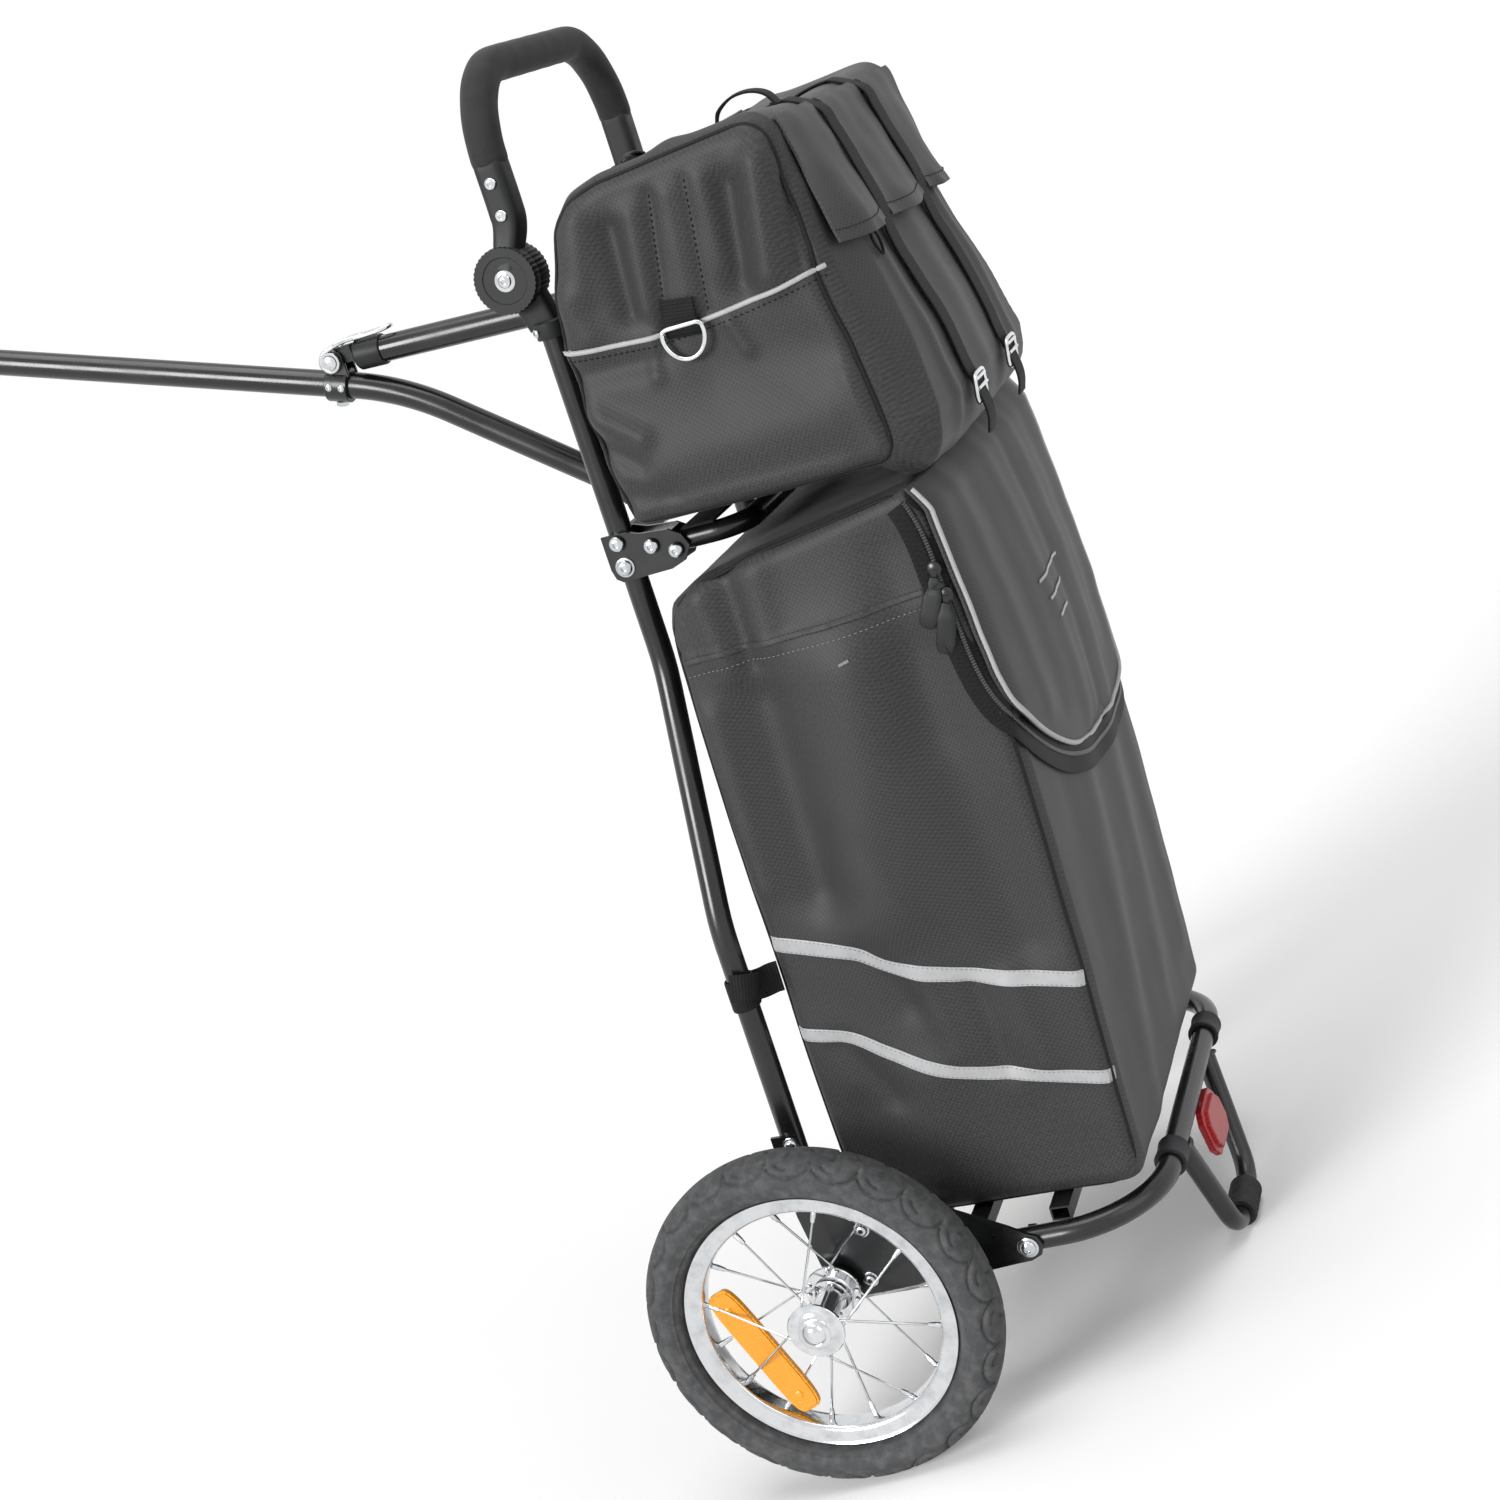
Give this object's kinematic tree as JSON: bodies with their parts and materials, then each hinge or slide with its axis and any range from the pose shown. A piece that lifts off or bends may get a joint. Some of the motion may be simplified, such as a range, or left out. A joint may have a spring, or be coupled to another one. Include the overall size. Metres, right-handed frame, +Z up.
{
  "type": "bike shopping trailer",
  "caption": "Folding two-wheel cycle trailer with a tall zipped bag, an upper bag, a folding platform with a stand, a hinged drawbar with latch, and a tilting foam handle.",
  "frame": {"origin": "centre of the bounding box on the floor, parked on both tyres and the stand's foot", "axes": "+Z up from the floor, +Y to the trailer's rear, +X to its left; the uprights lean back 7.9 degrees"},
  "size_m": [0.5806, 0.9478, 1.1659],
  "materials": {
    "frame": "gloss",
    "steel": "satin",
    "chrome": "polished",
    "rim": "polished",
    "tyre": "matte",
    "rubber": "matte",
    "plastic": "satin",
    "foam": "matte",
    "fabric": "matte",
    "webbing": "matte",
    "amber": "gloss",
    "red": "gloss"
  },
  "bodies": {
    "chassis": {"upright_lower_left": "frame", "upright_lower_right": "frame", "axle_bracket_left": "frame", "axle_bracket_right": "frame", "axle": "steel", "slat_front": "frame", "slat_middle": "frame", "bag_strap_left": "webbing", "bag_strap_right": "webbing", "main_bag": "fabric"},
    "wheel_left": {"tyre_left": "tyre", "rim_left": "rim", "hub_left": "chrome", "hub_cap_left": "chrome", "wheel_reflector_left": "amber"},
    "wheel_right": {"tyre_right": "tyre", "rim_right": "rim", "hub_right": "chrome", "hub_cap_right": "chrome", "wheel_reflector_right": "amber"},
    "platform": {"platform_rail": "frame", "platform_slat": "frame", "stand_loop": "frame", "stand_foot": "rubber", "platform_bolt_left": "steel", "platform_bolt_right": "steel", "rail_collar_left": "rubber", "rail_collar_right": "rubber", "reflector_strip": "frame", "reflector_rear": "red"},
    "flap": {"bag_flap": "fabric"},
    "upper_frame": {"upright_upper_left": "frame", "upright_upper_right": "frame", "hinge_channel_left": "frame", "hinge_channel_right": "frame", "frame_bolt_left": "steel", "frame_bolt_right": "steel", "shelf_loop": "frame", "shelf_strap": "webbing", "root_bar": "frame", "top_bar": "frame", "tilt_socket_left": "plastic", "tilt_socket_right": "plastic", "upper_bag": "fabric", "upper_zip": "plastic"},
    "handle": {"handle_arm_left": "plastic", "handle_arm_right": "plastic", "handle_bow": "frame", "handle_grip": "foam"},
    "drawbar": {"drawbar": "frame", "latch_saddle": "frame", "latch_pin": "chrome"},
    "lever": {"latch_lever": "chrome"},
    "brace": {"brace": "frame", "brace_hook": "plastic"},
    "hitch_yoke": {"hitch_yoke": "frame"},
    "hitch_clamp": {"hitch_clamp": "plastic"},
    "zip_pull": {"zip_pull": "plastic"},
    "ring_left": {"side_ring_left": "chrome"},
    "ring_right": {"side_ring_right": "chrome"}
  },
  "joints": [
    {"name": "wheel_left_spin", "type": "hinge", "parent": "chassis", "child": "wheel_left", "pos_m": [0.258, 0.11393, 0.14345], "axis": [1, 0, 0], "continuous": true},
    {"name": "wheel_right_spin", "type": "hinge", "parent": "chassis", "child": "wheel_right", "pos_m": [-0.258, 0.11393, 0.14345], "axis": [1, 0, 0], "continuous": true},
    {"name": "platform_fold", "type": "hinge", "parent": "chassis", "child": "platform", "pos_m": [0, 0.27689, 0.13196], "axis": [1, 0, 0], "range_deg": [0, 80], "deforming": ["main_bag"]},
    {"name": "frame_fold", "type": "hinge", "parent": "chassis", "child": "upper_frame", "pos_m": [0, 0.19511, 0.72885], "axis": [1, 0, 0], "range_deg": [0, 100]},
    {"name": "handle_tilt", "type": "hinge", "parent": "upper_frame", "child": "handle", "pos_m": [0, 0.21071, 0.95788], "axis": [1, 0, 0], "range_deg": [-20, 80]},
    {"name": "drawbar_fold", "type": "hinge", "parent": "upper_frame", "child": "drawbar", "pos_m": [0, 0.16357, 0.76351], "axis": [-1, 0, 0], "range_deg": [-100, 0]},
    {"name": "brace_fold", "type": "hinge", "parent": "upper_frame", "child": "brace", "pos_m": [0, 0.18711, 0.91875], "axis": [-1, 0, 0], "range_deg": [0, 60]},
    {"name": "latch_lever_turn", "type": "hinge", "parent": "drawbar", "child": "lever", "pos_m": [0, -0.02639, 0.95895], "axis": [1, 0, 0], "range_deg": [0, 80]},
    {"name": "hitch_pitch", "type": "hinge", "parent": "drawbar", "child": "hitch_yoke", "pos_m": [0, -0.36374, 1.10218], "axis": [1, 0, 0], "range_deg": [-60, 60]},
    {"name": "hitch_yaw", "type": "hinge", "parent": "hitch_yoke", "child": "hitch_clamp", "pos_m": [0, -0.40322, 1.12161], "axis": [0, 0.4414, 0.8973], "range_deg": [-75, 75]},
    {"name": "flap_open", "type": "hinge", "parent": "chassis", "child": "flap", "pos_m": [0, 0.43865, 0.70964], "axis": [1, 0, 0], "range_deg": [0, 85]},
    {"name": "zip_pull_slide", "type": "slide", "parent": "upper_frame", "child": "zip_pull", "axis": [-1, 0, 0], "range_m": [0, 0.27]},
    {"name": "ring_left_swing", "type": "hinge", "parent": "upper_frame", "child": "ring_left", "pos_m": [0.1925, 0.33281, 0.87734], "axis": [0, -0.9905, 0.1374], "range_deg": [0, 90]},
    {"name": "ring_right_swing", "type": "hinge", "parent": "upper_frame", "child": "ring_right", "pos_m": [-0.1925, 0.33281, 0.87734], "axis": [0, 0.9905, -0.1374], "range_deg": [0, 90]}
  ]
}
